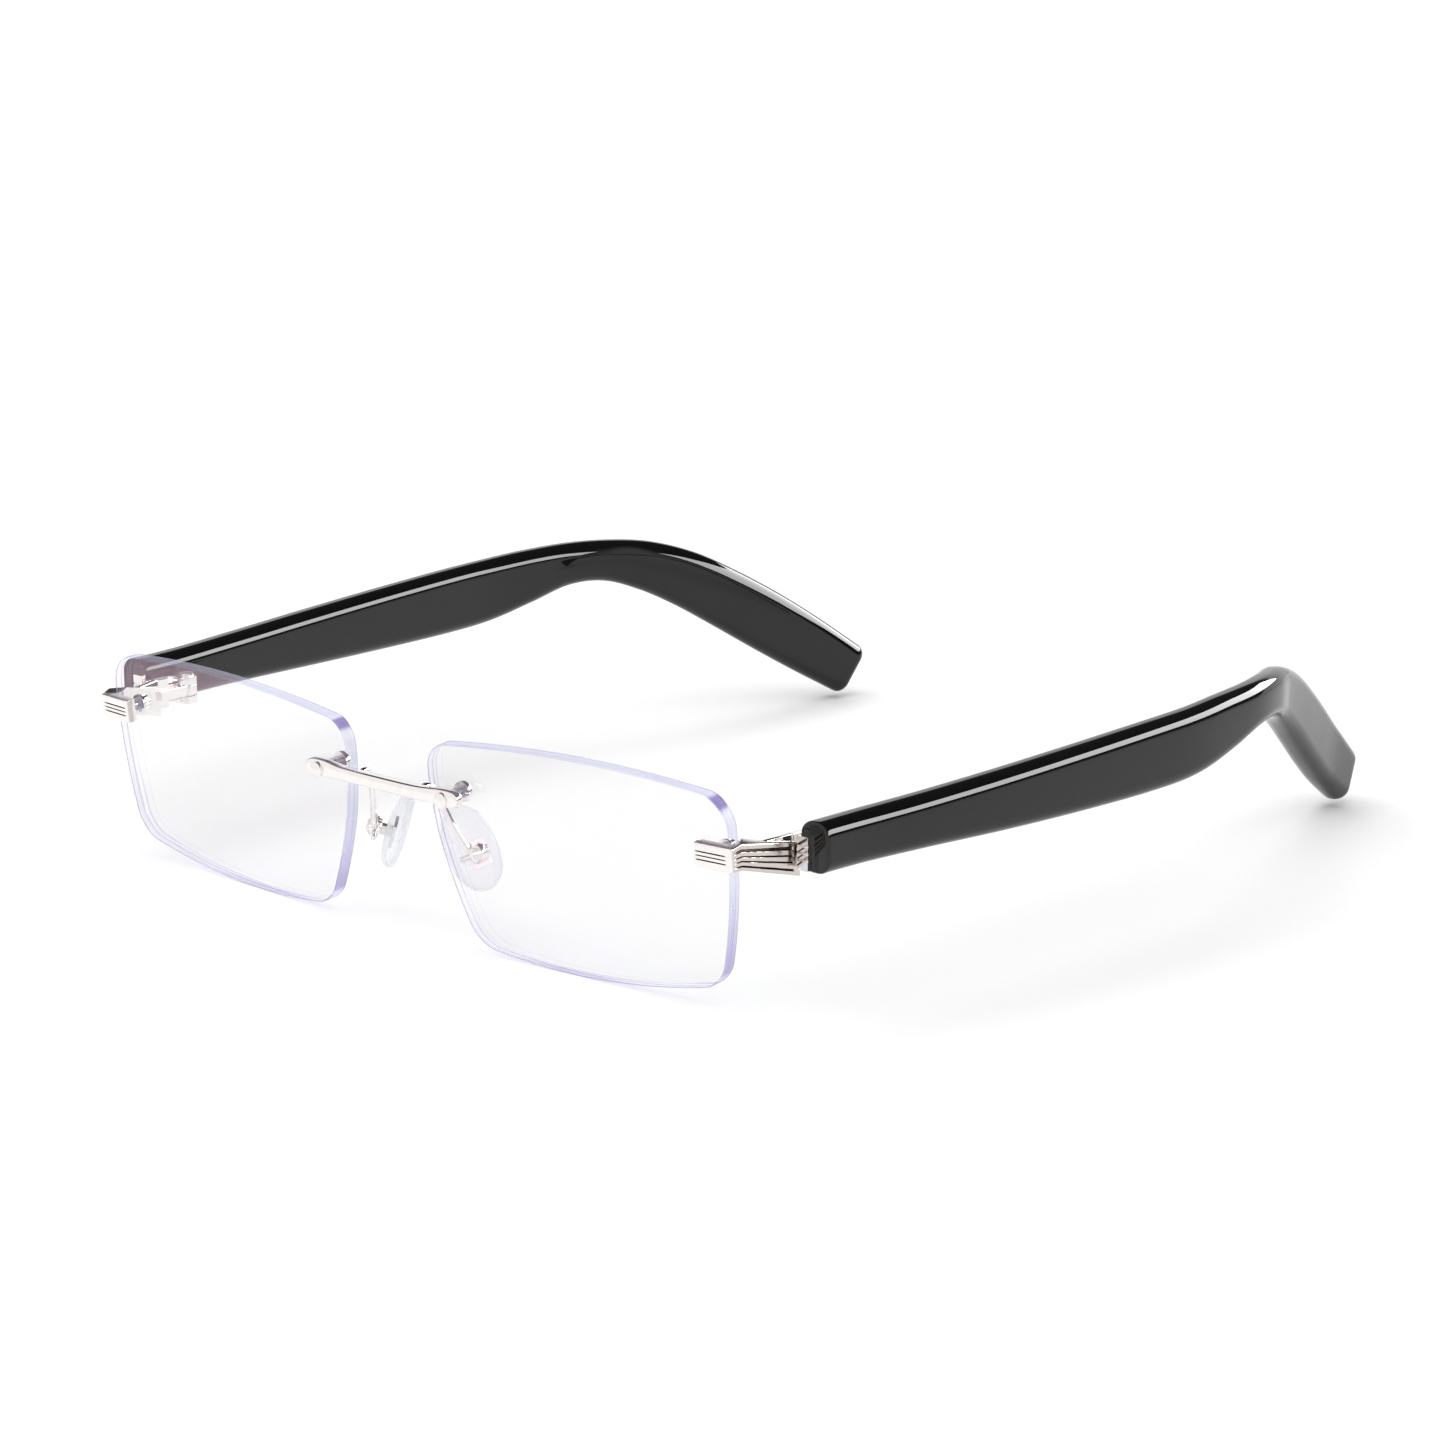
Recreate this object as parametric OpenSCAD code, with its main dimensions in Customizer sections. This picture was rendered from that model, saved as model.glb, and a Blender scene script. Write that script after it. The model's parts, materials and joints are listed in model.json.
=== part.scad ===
// Rimless eyeglasses: two drilled lenses, a bridge with nose pads, ribbed end pieces and
// thick acetate temples on barrel hinges. The glasses stand open on the bottom edges of the
// lenses and on the temple tips. +X is the wearer's left, +Y the back and +Z up. The left
// side is drawn, and the right side is its mirror image.

/* [Lenses] */
// Thickness of each lens
lens_t = 2.0; // [1.6:0.1:2.4]
// Distance from the middle plane to the centre of each lens
lens_x = 35.8; // [35.2:0.1:36.4]
// Forward tilt of the lens tops, degrees
lens_tilt = 5.7; // [4:0.1:7]
// Wrap of each lens around the face, degrees
lens_wrap = 3.8; // [3:0.1:5]
// Distance of each lens centre behind the plane of the middle of the bridge's seats
lens_y = 0.5; // [0.3:0.1:0.6]
// Height of both drilled holes above the lens centre
hole_v = 7.0; // [6.5:0.1:7.5]
// Distance from the lens centre to the hole beside the nose
nasal_hole_u = 23.2; // [22.8:0.1:23.6]
// Distance from the lens centre to the hole beside the temple
temporal_hole_u = 25.0; // [24.6:0.1:25.2]
// Radius of the drilled holes
lens_hole_r = 0.95; // [0.8:0.05:1.1]

/* [Fasteners] */
// Radius of every screw shank and stud through a lens
shank_r = 0.6; // [0.5:0.05:0.7]
// Radius of the cupped washers behind the bridge screws
bridge_washer_r = 1.5; // [1.4:0.1:1.7]
// Radius of the washers behind the end pieces
end_washer_r = 1.4; // [1.3:0.1:1.6]
// Radius of the nuts on the bridge screws
bridge_nut_r = 1.0; // [0.95:0.05:1.05]
// Radius of the notched nuts on the end piece studs
end_nut_r = 1.0; // [0.9:0.05:1.1]

/* [Hinges] */
// Distance from the middle plane to each hinge axis
hinge_x = 65.6; // [65.5:0.1:65.7]
// Distance from the lens centre plane back to each hinge axis
hinge_y = 17.1; // [17:0.1:17.3]
// Outer radius of the hinge barrels
barrel_r = 1.6; // [1.4:0.05:1.6]
// Radial clearance of the hinge screw in the middle barrel
hinge_clearance = 0.05; // [0.02:0.01:0.1]

/* [Temples] */
// Half the thickness of each temple at its front
temple_front_w = 2.65; // [2.5:0.05:2.7]
// Half the thickness of each temple at its tip
temple_tip_w = 2.4; // [2.3:0.05:2.5]
// Radius of the temple's long edges
temple_edge_r = 2.2; // [1.8:0.1:2.2]

/* [Nose pads] */
// Length of each nose pad
pad_length = 12.8; // [12:0.2:13.4]
// Width of each nose pad
pad_width = 7.4; // [6.6:0.2:7.6]
// Thickness of each nose pad
pad_t = 3.1; // [2.8:0.1:3.2]
// Radius of the pad arm's wire
arm_r = 0.5; // [0.45:0.05:0.6]

/* [Hidden] */
$fn = 48;
metal = [0.90, 0.87, 0.85];
black = [0.06, 0.06, 0.07];
clear = [0.86, 0.88, 0.95, 0.5];
silicone = [0.90, 0.91, 0.93, 0.7];
eps = 0.01;

// ---- Curves ---------------------------------------------------------------------------
// Point at t on a quadratic or cubic curve through its control points
function bezier2(a, b, c, t) = (1 - t) * (1 - t) * a + 2 * t * (1 - t) * b + t * t * c;
function bezier3(a, b, c, d, t) =
  pow(1 - t, 3) * a + 3 * pow(1 - t, 2) * t * b + 3 * (1 - t) * t * t * c + t * t * t * d;
// Point at t between b and c on a smooth curve that passes a, b, c and d
function smooth(a, b, c, d, t) =
  0.5 * (2 * b + (c - a) * t + (2 * a - 5 * b + 4 * c - d) * t * t
  + (3 * b - a - 3 * c + d) * t * t * t);
function at(list, i) = list[max(0, min(len(list) - 1, i))];
// Every station of a list, with extra ones between them on a smooth curve
function smoothed(list, steps) = [
  for (i = [0 : len(list) - 2])
    for (k = [0 : steps - 1])
      smooth(at(list, i - 1), list[i], list[i + 1], at(list, i + 2), k / steps),
  list[len(list) - 1]
];
function unit(v) = v / norm(v);
function tangent(path, i) = unit(at(path, i + 1) - at(path, i - 1));

// Closed solid through rings of points; every ring has the same number of points
module loft(rings) {
  n = len(rings[0]);
  last = len(rings) - 1;
  points = [for (ring = rings) each ring];
  sides = [
    for (i = [0 : last - 1])
      for (k = [0 : n - 1])
        let (a = i * n + k, b = i * n + (k + 1) % n)
          each [[a, b, b + n], [a, b + n, a + n]]
  ];
  start = [for (k = [1 : n - 2]) [0, k + 1, k]];
  finish = [for (k = [1 : n - 2]) [last * n, last * n + k, last * n + k + 1]];
  polyhedron(points, concat(sides, start, finish));
}
// Ring of a rounded rectangle, w by h half sizes, around centre, along out and up
function rounded_ring(centre, out, up, w, h, r, steps = 4) = [
  for (corner = [0 : 3])
    for (k = [0 : steps])
      let (
        a = 90 * corner + 90 * k / steps,
        sx = (corner == 0 || corner == 3) ? 1 : -1,
        sz = (corner < 2) ? 1 : -1
      )
        centre + (sx * (w - r) + r * cos(a)) * out + (sz * (h - r) + r * sin(a)) * up
];

// ---- Lens outline ---------------------------------------------------------------------
// Corners of the outline as [out towards the temple, up], with how far the side after each
// corner bulges, and how far from each corner its rounding starts
lens_corner = [[-27.4, 14.1], [27.3, 14.8], [24.5, -12.4], [-20.3, -14.6], [-27.3, 4.1]];
side_bulge = [1.6, 1.2, 2.2, 0.7, 0.15];
corner_cut = [3.4, 4.3, 3.1, 3.0, 4.5];
corners = len(lens_corner);
function corner(i) = lens_corner[i % corners];
function side_middle(i) =
  let (along = unit(corner(i + 1) - corner(i)))
    (corner(i) + corner(i + 1)) / 2 + 2 * side_bulge[i % corners] * [-along[1], along[0]];
function side_point(i, t) = bezier2(corner(i), side_middle(i), corner(i + 1), t);
function side_start(i) = corner_cut[i % corners] / norm(corner(i + 1) - corner(i));
function side_end(i) = 1 - corner_cut[(i + 1) % corners] / norm(corner(i + 1) - corner(i));
function side_run(i, steps) = [
  for (k = [0 : steps])
    side_point(i, side_start(i) + (side_end(i) - side_start(i)) * k / steps)
];
function corner_run(i, steps) =
  let (
    a = side_point(i, side_end(i)),
    b = corner(i + 1),
    c = side_point(i + 1, side_start(i + 1)),
    pull = 0.55
  )
    [for (k = [1 : steps - 1]) bezier3(a, a + (b - a) * pull, c + (b - c) * pull, c, k / steps)];
lens_outline = [for (i = [0 : corners - 1]) each concat(side_run(i, 8), corner_run(i, 7))];

// ---- Frame of reference ---------------------------------------------------------------
// The lowest point of each lens rests on the floor, and the origin is under the middle of
// the whole object
lens_z = -min([for (p = lens_outline) p[1]]) * cos(lens_tilt);
object_front_y = -4.863;
object_back_y = 151.99;
module placed() {
  translate([0, -(object_front_y + object_back_y) / 2, 0]) children();
}
// Draws the left piece, or its mirror image for the right side
module on_side(side) {
  mirror([side == "right" ? 1 : 0, 0, 0]) children();
}
// Lens coordinates: X towards the temple, Y from the front face backwards, Z up
module in_lens() {
  translate([lens_x, lens_y, lens_z])
    rotate([0, 0, lens_wrap]) rotate([lens_tilt, 0, 0]) children();
}
// Same, with Z along a drilled hole and its zero at the lens's front face
module in_hole(u) {
  in_lens() translate([u, 0, hole_v]) rotate([-90, 0, 0]) children();
}
module tube(outer_r, inner_r, from, to) {
  difference() {
    translate([0, 0, from]) cylinder(r = outer_r, h = to - from);
    translate([0, 0, from - 1]) cylinder(r = inner_r, h = to - from + 2);
  }
}

// ---- Lenses ---------------------------------------------------------------------------
module lens() {
  color(clear) difference() {
    in_lens() rotate([90, 0, 0]) mirror([0, 0, 1]) linear_extrude(lens_t) polygon(lens_outline);
    in_hole(-nasal_hole_u) translate([0, 0, -1]) cylinder(r = lens_hole_r, h = lens_t + 2);
    in_hole(temporal_hole_u) translate([0, 0, -1]) cylinder(r = lens_hole_r, h = lens_t + 2);
  }
}
module bushing(u) {
  color(silicone) in_hole(u) tube(lens_hole_r, shank_r, 0, lens_t);
}

// ---- Bridge ---------------------------------------------------------------------------
bridge_z = lens_z + hole_v;
screw_seat = -1.95;
// Half of the bridge bar as [x, y, half depth, half height], from its end to its middle
bridge_half = [
  [15.65, -3.1, 0.40, 0.30], [15.5, -3.05, 0.70, 0.65], [15.1, -3.0, 0.95, 0.98],
  [14.5, -3.0, 1.02, 1.20], [13.6, -2.95, 1.05, 1.30], [12.0, -2.95, 1.05, 1.27],
  [10.4, -3.0, 1.1, 1.14], [8.2, -3.2, 1.15, 1.0], [5.2, -3.3, 1.15, 0.95],
  [2.2, -3.35, 1.15, 0.95]
];
bridge_stations = concat(
  bridge_half,
  [for (i = [len(bridge_half) - 1 : -1 : 0]) let (s = bridge_half[i]) [-s[0], s[1], s[2], s[3]]]
);
module bridge() {
  rings = [
    for (s = smoothed(bridge_stations, 3))
      rounded_ring([s[0], s[1], bridge_z - 0.05], [0, 1, 0], [0, 0, 1], s[2], s[3], 0.42 * s[3] + 0.1)
  ];
  color(metal) difference() {
    loft(rings);
    for (side = ["left", "right"]) on_side(side) {
      // Flat seats on the lens and under the screw head, and the screw hole
      in_lens() translate([-30, 0, 0]) cube([12.4, 4, 14]);
      in_hole(-nasal_hole_u) translate([0, 0, -3]) cylinder(r = shank_r, h = 6);
      in_hole(-nasal_hole_u) translate([0, 0, screw_seat - 2]) cylinder(r = 1.2, h = 2);
      // Flat where the pad arm is brazed on
      translate([arm_x - 0.8, arm_y, bridge_z - 2]) cube([1.6, 2, 4]);
    }
  }
}
bridge_screw_end = 3.4;
module bridge_screw() {
  color(metal) in_hole(-nasal_hole_u) {
    translate([0, 0, screw_seat]) cylinder(r = shank_r, h = bridge_screw_end - screw_seat);
    intersection() {
      translate([0, 0, screw_seat - 1.2]) cylinder(r = 1.15, h = 1.2);
      translate([0, 0, screw_seat + 0.35]) sphere(r = 1.45);
    }
  }
}
module bridge_washer() {
  color(metal) in_hole(-nasal_hole_u) {
    tube(bridge_washer_r, shank_r, lens_t, lens_t + 0.4);
    tube(bridge_washer_r, bridge_washer_r - 0.35, lens_t + 0.4, lens_t + 0.7);
  }
}
module bridge_nut() {
  color(metal) in_hole(-nasal_hole_u) difference() {
    tube(bridge_nut_r, shank_r, lens_t + 0.4, lens_t + 1.2);
    translate([-2, -0.2, lens_t + 0.95]) cube([4, 0.4, 1]);
  }
}

// ---- End pieces -----------------------------------------------------------------------
// Seen from above in lens coordinates: the front plate lies on the lens, and the side leg
// passes the lens's edge and flares outwards to the hinge
plate_nasal_u = 22.6;
leg_front_u = 29.25;
leg_rear_u = 31.7;
leg_rear_n = 9.3;
leg_t = 1.9;
lens_edge_u = 27.65;
end_footprint = [
  [plate_nasal_u + 0.2, 0], [plate_nasal_u, -0.3], [plate_nasal_u, -1.7],
  [plate_nasal_u + 0.25, -1.93], [leg_front_u - 0.3, -1.79], [leg_front_u - 0.08, -1.7],
  [leg_front_u, -1.5], [leg_rear_u, leg_rear_n], [leg_rear_u - leg_t, leg_rear_n],
  [lens_edge_u + 0.3, lens_t + 0.9], [lens_edge_u, lens_t + 0.3], [lens_edge_u, 0]
];
// Seen from the side, as [back, up]: the leg drops and grows taller towards the hinge
plate_low = 5.35;
plate_high = 8.8;
front_low = 5.25;
front_high = 9.1;
rear_low = 1.95;
rear_high = 6.95;
end_side = [
  [-3, plate_low], [-1.2, plate_low], [0, front_low], [leg_rear_n, rear_low], [leg_rear_n + 1, rear_low],
  [leg_rear_n + 1, rear_high], [leg_rear_n, rear_high], [0, front_high], [-1.2, plate_high],
  [-3, plate_high]
];
// Inner wall that carries the hinge tongue and stands above the leg's falling top
wall_footprint = [[28.2, 2.6], [29.1, 2.6], [30.7, leg_rear_n], [29.8, leg_rear_n]];
wall_side = [[2.6, 6], [leg_rear_n, 4], [leg_rear_n, 7.9], [2.6, 8.1]];
// Height of groove k of 3, at the front corner and at the rear end of the leg
function groove_front(k) = front_high - (front_high - front_low) * (0.28 + 0.235 * k);
function groove_rear(k) = rear_high - (rear_high - rear_low) * (0.25 + 0.25 * k);
function groove_plate(k) = plate_high - (plate_high - plate_low) * (0.33 + 0.17 * k);
module rod(a, b, r) {
  d = b - a;
  translate(a) rotate([0, acos(d[2] / norm(d)), atan2(d[1], d[0])]) {
    cylinder(r = r, h = norm(d));
    sphere(r = r);
    translate([0, 0, norm(d)]) sphere(r = r);
  }
}
module end_piece() {
  stud_end = 3.7;
  color(metal) in_lens() {
    difference() {
      union() {
        intersection() {
          linear_extrude(12) polygon(end_footprint);
          rotate([90, 0, 90]) linear_extrude(40) polygon(end_side);
        }
        intersection() {
          linear_extrude(12) polygon(wall_footprint);
          rotate([90, 0, 90]) linear_extrude(40) polygon(wall_side);
        }
      }
      for (k = [0 : 2]) {
        rod(
          [leg_front_u + 0.2, -0.2, groove_front(k)],
          [leg_rear_u - 0.28, leg_rear_n - 1.2, groove_rear(k)], 0.3
        );
        rod(
          [plate_nasal_u + 0.9, -1.93, groove_plate(k)],
          [leg_front_u - 1.1, -1.83, groove_plate(k)], 0.16
        );
      }
    }
    translate([temporal_hole_u, -0.5, hole_v]) rotate([-90, 0, 0])
      cylinder(r = shank_r, h = stud_end + 0.5);
  }
}
module end_washer() {
  color(metal) in_hole(temporal_hole_u) tube(end_washer_r, shank_r, lens_t, lens_t + 0.4);
}
module end_nut() {
  notches = 8;
  color(metal) in_hole(temporal_hole_u) difference() {
    tube(end_nut_r, shank_r, lens_t + 0.4, lens_t + 1.5);
    for (k = [0 : notches - 1])
      rotate([0, 0, 360 * k / notches]) translate([end_nut_r, 0, lens_t + 0.8])
        cylinder(r = 0.15, h = 2);
  }
}

// ---- Hinges ---------------------------------------------------------------------------
// Heights of the stacked barrels: the tongue sits between the plate's two knuckles
tongue_low = 21.2;
tongue_high = 22.8;
knuckle_gap = 0.05;
knuckle_h = 1.15;
plate_in_x = 67.3;
plate_t = 0.7;
temple_front_y = 10.8;
flange_t = 0.7;
module hinge_tongue() {
  tongue_start_y = 10.9;
  color(metal) difference() {
    union() {
      translate([hinge_x, hinge_y, tongue_low]) cylinder(r = barrel_r, h = tongue_high - tongue_low);
      translate([hinge_x - 1.25, tongue_start_y, tongue_low])
        cube([2.45, hinge_y - tongue_start_y, tongue_high - tongue_low]);
      // Brazing pad behind the end piece
      translate([hinge_x - 0.6, tongue_start_y, tongue_low - 1.2])
        cube([1.1, 2.3, 4.5]);
    }
    translate([hinge_x, hinge_y, tongue_low - 1])
      cylinder(r = shank_r + hinge_clearance, h = tongue_high - tongue_low + 2);
    // Flush with the rear end of the end piece's leg
    in_lens() translate([20, leg_rear_n - 10, -5]) cube([20, 10, 20]);
  }
}
module knuckle(z) {
  translate([hinge_x, hinge_y, z]) cylinder(r = barrel_r, h = knuckle_h);
  translate([hinge_x, hinge_y - barrel_r, z])
    cube([plate_in_x - hinge_x + eps, 2 * barrel_r, knuckle_h]);
}
module hinge_plate() {
  top = tongue_high + knuckle_gap + knuckle_h;
  bottom = tongue_low - knuckle_gap - knuckle_h;
  flange_high = top + 0.8;
  color(metal) difference() {
    union() {
      knuckle(tongue_high + knuckle_gap);
      knuckle(bottom);
      translate([plate_in_x, temple_front_y, bottom])
        cube([plate_t, 19.3 - temple_front_y, top - bottom]);
      translate([plate_in_x + 0.3, temple_front_y - flange_t, bottom])
        cube([2.0, flange_t, flange_high - bottom]);
    }
    translate([hinge_x, hinge_y, bottom - 1]) cylinder(r = shank_r, h = top - bottom + 2);
    // Three grooves split the flange into four teeth
    for (z = [21.45, 22.45, 23.45])
      translate([plate_in_x - 1, temple_front_y - flange_t, z])
        rotate([0, 90, 0]) cylinder(r = 0.15, h = 5);
  }
}
module hinge_screw() {
  top = tongue_high + knuckle_gap + knuckle_h;
  bottom = tongue_low - knuckle_gap - knuckle_h;
  head_r = 1.15;
  head_h = 0.5;
  color(metal) translate([hinge_x, hinge_y, 0]) difference() {
    union() {
      translate([0, 0, bottom]) cylinder(r = shank_r, h = top - bottom);
      translate([0, 0, top]) cylinder(r = head_r, h = head_h);
    }
    translate([-2, -0.14, top + head_h - 0.3]) cube([4, 0.28, 1]);
  }
}

// ---- Temples --------------------------------------------------------------------------
// Stations along the temple as [x, y, z, half height]: a long front run that bows outwards
// and grows taller, a slim bend over the ear, and a paddle tip that drops to the floor
temple_stations = [
  [70.15, temple_front_y, 23.35, 3.6], [70.4, 20, 23.45, 3.66], [71.3, 32, 23.6, 3.90],
  [72.2, 46, 23.75, 4.35], [72.8, 61, 24.0, 4.78], [73.1, 76, 24.35, 5.08],
  [73.0, 86, 24.8, 5.00], [72.2, 94.5, 25.85, 4.35], [70.9, 102.5, 26.9, 3.45],
  [68.6, 109.3, 26.85, 3.35], [65.4, 115.4, 25.5, 4.05], [62.4, 121.8, 22.7, 4.65],
  [59.5, 128.4, 18.7, 4.95], [56.7, 135.0, 14.3, 5.05], [54.1, 141.6, 9.75, 4.85],
  [51.8, 148.9, 4.8, 4.35]
];
temple_path = smoothed(temple_stations, 3);
function place(s) = [s[0], s[1], s[2]];
temple_centres = [for (s = temple_path) place(s)];
function up_of(t) = unit([0, 0, 1] - t[2] * t);
function out_of(t) = cross(t, up_of(t));
// Ring of the temple at station i, moved along the path and drawn in by inset
function temple_ring(i, along, inset) =
  let (
    t = tangent(temple_centres, i),
    share = i / (len(temple_path) - 1),
    w = temple_front_w + (temple_tip_w - temple_front_w) * share,
    h = temple_path[i][3]
  )
    rounded_ring(
      temple_centres[i] + along * t, out_of(t), up_of(t),
      w - inset, h - inset, temple_edge_r - inset
    );
temple_last = len(temple_path) - 1;
tip_round = 1.3;
temple_rings = concat(
  [temple_ring(0, 0, 0.35), temple_ring(0, 0.1, 0.12)],
  [temple_ring(0, 0.4, 0)],
  [for (i = [1 : temple_last]) temple_ring(i, 0, 0)],
  [for (a = [30, 60, 90]) temple_ring(temple_last, tip_round * sin(a), tip_round * (1 - cos(a)))]
);
pin_x = 71.0;
pin_y = 24.0;
pin_r = 0.4;
pin_high = 26.95;
pin_low = 25.0;
module temple() {
  color(black) difference() {
    loft(temple_rings);
    // Seat of the hinge plate, and the pin's hole in the top
    translate([plate_in_x - 4, temple_front_y - 2, tongue_low - 1.2])
      cube([4 + plate_t, 19.3 - temple_front_y + 2, 4]);
    translate([pin_x, pin_y, pin_low]) cylinder(r = pin_r, h = 6);
  }
}
module temple_pin() {
  color(metal) translate([pin_x, pin_y, pin_low]) cylinder(r = pin_r, h = pin_high - pin_low);
}
// Flat wire that stiffens the temple, sealed inside it
core_first = 3;
core_last = temple_last - 6;
core_half_w = 0.45;
core_half_h = 0.9;
module temple_core() {
  color(metal) loft([
    for (i = [core_first : 2 : core_last])
      let (t = tangent(temple_centres, i), c = temple_centres[i], out = out_of(t), up = up_of(t))
        [for (s = [[1, -1], [1, 1], [-1, 1], [-1, -1]])
          c + s[0] * core_half_w * out + s[1] * core_half_h * up]
  ]);
}

// ---- Nose pads ------------------------------------------------------------------------
// Pad coordinates: Y along the pad screw, Z up the pad, and -X towards the nose
pad_pivot = [10.6, 5.1, 12.7];
pad_lean = 34;
pad_splay = 35;
pad_tip_forward = 27;
module in_pad() {
  translate(pad_pivot) rotate([pad_tip_forward, 0, 0]) rotate([0, 0, -pad_splay])
    rotate([0, -pad_lean, 0]) children();
}
cup_r = 1.5;
cup_half_w = 1.2;
slot_half_w = 0.5;
pad_screw_r = 0.4;
// Where the arm is brazed to the back of the bridge, and its route down to the cup's wall
arm_x = 6.3;
arm_y = -2.6;
arm_route = [
  [arm_x, arm_y, 22.75], [arm_x, -1.6, 22.75], [6.4, -0.6, 22.85], [6.6, 0.3, 22.45],
  [7.05, 0.9, 21.2], [7.45, 1.75, 19.3], [8.2, 2.5, 17.0], [9.05, 3.3, 15.0],
  [9.82, 4.17, 13.05]
];
module pad_arm() {
  path = smoothed(arm_route, 3);
  color(metal) {
    loft([
      for (i = [0 : len(path) - 1])
        let (t = tangent(path, i), side = unit(cross(t, [1, 0, 0])), up = cross(side, t))
          [for (a = [0 : 36 : 324]) path[i] + arm_r * (cos(a) * side + sin(a) * up)]
    ]);
    in_pad() difference() {
      intersection() {
        sphere(r = cup_r);
        translate([-0.7, -cup_half_w, -3]) cube([4, 2 * cup_half_w, 6]);
      }
      translate([-4, -slot_half_w, -3]) cube([4.95, 2 * slot_half_w, 6]);
      translate([0, 3, 0]) rotate([90, 0, 0]) cylinder(r = pad_screw_r, h = 6);
    }
  }
}
module pad_screw() {
  head_r = 0.75;
  color(metal) in_pad() {
    translate([0, cup_half_w, 0]) rotate([90, 0, 0]) cylinder(r = pad_screw_r, h = 3.9);
    difference() {
      translate([0, cup_half_w + 0.5, 0]) rotate([90, 0, 0]) cylinder(r = head_r, h = 0.5);
      translate([-1, cup_half_w + 0.25, -0.12]) cube([2, 1, 0.24]);
    }
  }
}
pad_middle_x = -3.0;
pad_middle_y = -0.6;
pad_middle_z = 1.1;
pad_clearance = 0.05;
module pad_insert() {
  tab_half_w = slot_half_w - 0.1;
  color(metal) in_pad() difference() {
    union() {
      translate([0, tab_half_w, 0]) rotate([90, 0, 0]) cylinder(r = 0.8, h = 2 * tab_half_w);
      translate([-2.4, -tab_half_w, -0.8]) cube([2.4, 2 * tab_half_w, 1.6]);
      translate([-2.9, -1.4, -1.9]) cube([0.5, 2.8, 3.8]);
    }
    translate([0, 3, 0]) rotate([90, 0, 0]) cylinder(r = pad_screw_r + pad_clearance, h = 6);
  }
}
module nose_pad() {
  rows = 12;
  color(silicone) in_pad() translate([pad_middle_x, pad_middle_y, pad_middle_z]) loft([
    for (i = [0 : rows])
      let (
        a = -84 + 168 * i / rows,
        grow = sqrt(1 - pow(abs(sin(a)), 2.6)),
        z = pad_length / 2 * sin(a) / sin(84)
      )
        [for (b = [0 : 20 : 340])
          [pad_t / 2 * (0.35 + 0.65 * grow) * cos(b) - 0.35 * (1 - grow),
          pad_width / 2 * grow * sin(b), z]]
  ]);
}

// ---- Assembly -------------------------------------------------------------------------
module fitted(side) {
  placed() on_side(side) children();
}
fitted("left") lens();  // lens_left
fitted("right") lens();  // lens_right
placed() bridge();
fitted("left") bridge_screw();  // bridge_screw_left
fitted("right") bridge_screw();  // bridge_screw_right
fitted("left") bushing(-nasal_hole_u);  // bridge_bushing_left
fitted("right") bushing(-nasal_hole_u);  // bridge_bushing_right
fitted("left") bridge_washer();  // bridge_washer_left
fitted("right") bridge_washer();  // bridge_washer_right
fitted("left") bridge_nut();  // bridge_nut_left
fitted("right") bridge_nut();  // bridge_nut_right
fitted("left") end_piece();  // end_piece_left
fitted("right") end_piece();  // end_piece_right
fitted("left") bushing(temporal_hole_u);  // end_bushing_left
fitted("right") bushing(temporal_hole_u);  // end_bushing_right
fitted("left") end_washer();  // end_washer_left
fitted("right") end_washer();  // end_washer_right
fitted("left") end_nut();  // end_nut_left
fitted("right") end_nut();  // end_nut_right
fitted("left") hinge_tongue();  // hinge_tongue_left
fitted("right") hinge_tongue();  // hinge_tongue_right
fitted("left") hinge_plate();  // hinge_plate_left
fitted("right") hinge_plate();  // hinge_plate_right
fitted("left") hinge_screw();  // hinge_screw_left
fitted("right") hinge_screw();  // hinge_screw_right
fitted("left") temple();  // temple_left
fitted("right") temple();  // temple_right
fitted("left") temple_core();  // temple_core_left
fitted("right") temple_core();  // temple_core_right
fitted("left") temple_pin();  // temple_pin_left
fitted("right") temple_pin();  // temple_pin_right
fitted("left") pad_arm();  // pad_arm_left
fitted("right") pad_arm();  // pad_arm_right
fitted("left") pad_screw();  // pad_screw_left
fitted("right") pad_screw();  // pad_screw_right
fitted("left") pad_insert();  // pad_insert_left
fitted("right") pad_insert();  // pad_insert_right
fitted("left") nose_pad();  // nose_pad_left
fitted("right") nose_pad();  // nose_pad_right
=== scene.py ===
import json
import math

import bpy
import numpy as np
from mathutils import Matrix, Vector
from mathutils.geometry import tessellate_polygon


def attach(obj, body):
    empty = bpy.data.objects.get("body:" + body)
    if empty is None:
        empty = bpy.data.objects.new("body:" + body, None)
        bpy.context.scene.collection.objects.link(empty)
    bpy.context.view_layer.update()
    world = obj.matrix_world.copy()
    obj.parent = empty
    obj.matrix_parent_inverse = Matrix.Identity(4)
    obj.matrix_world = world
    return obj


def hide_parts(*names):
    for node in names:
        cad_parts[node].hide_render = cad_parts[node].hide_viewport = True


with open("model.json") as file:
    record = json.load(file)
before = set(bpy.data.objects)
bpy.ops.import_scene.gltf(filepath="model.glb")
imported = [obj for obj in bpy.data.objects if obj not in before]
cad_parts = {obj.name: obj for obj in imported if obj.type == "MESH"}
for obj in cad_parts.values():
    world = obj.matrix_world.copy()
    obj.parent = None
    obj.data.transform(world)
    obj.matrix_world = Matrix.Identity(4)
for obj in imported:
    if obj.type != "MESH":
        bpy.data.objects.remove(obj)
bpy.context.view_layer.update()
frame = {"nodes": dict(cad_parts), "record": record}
record = frame["record"]

# ---- Places: hinge and pad pivot taken from the record, the rest given here ---------------
MM = 0.001
JOINTS = {j["name"]: j for j in record["behaviour"]["joints"]}
HINGE = np.array(JOINTS["temple_left_hinge"]["pos_m"]) / MM
PAD_PIVOT = np.array(JOINTS["pad_left_rock"]["pos_m"]) / MM
HINGE_BEHIND_LENS = 17.1  # mm, measured from the lens plane back to the hinge axis
BACK = HINGE[1] - HINGE_BEHIND_LENS  # how far the row frame's Y lies from the lens plane's
SIDES = {"left": 1, "right": -1}

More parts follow.
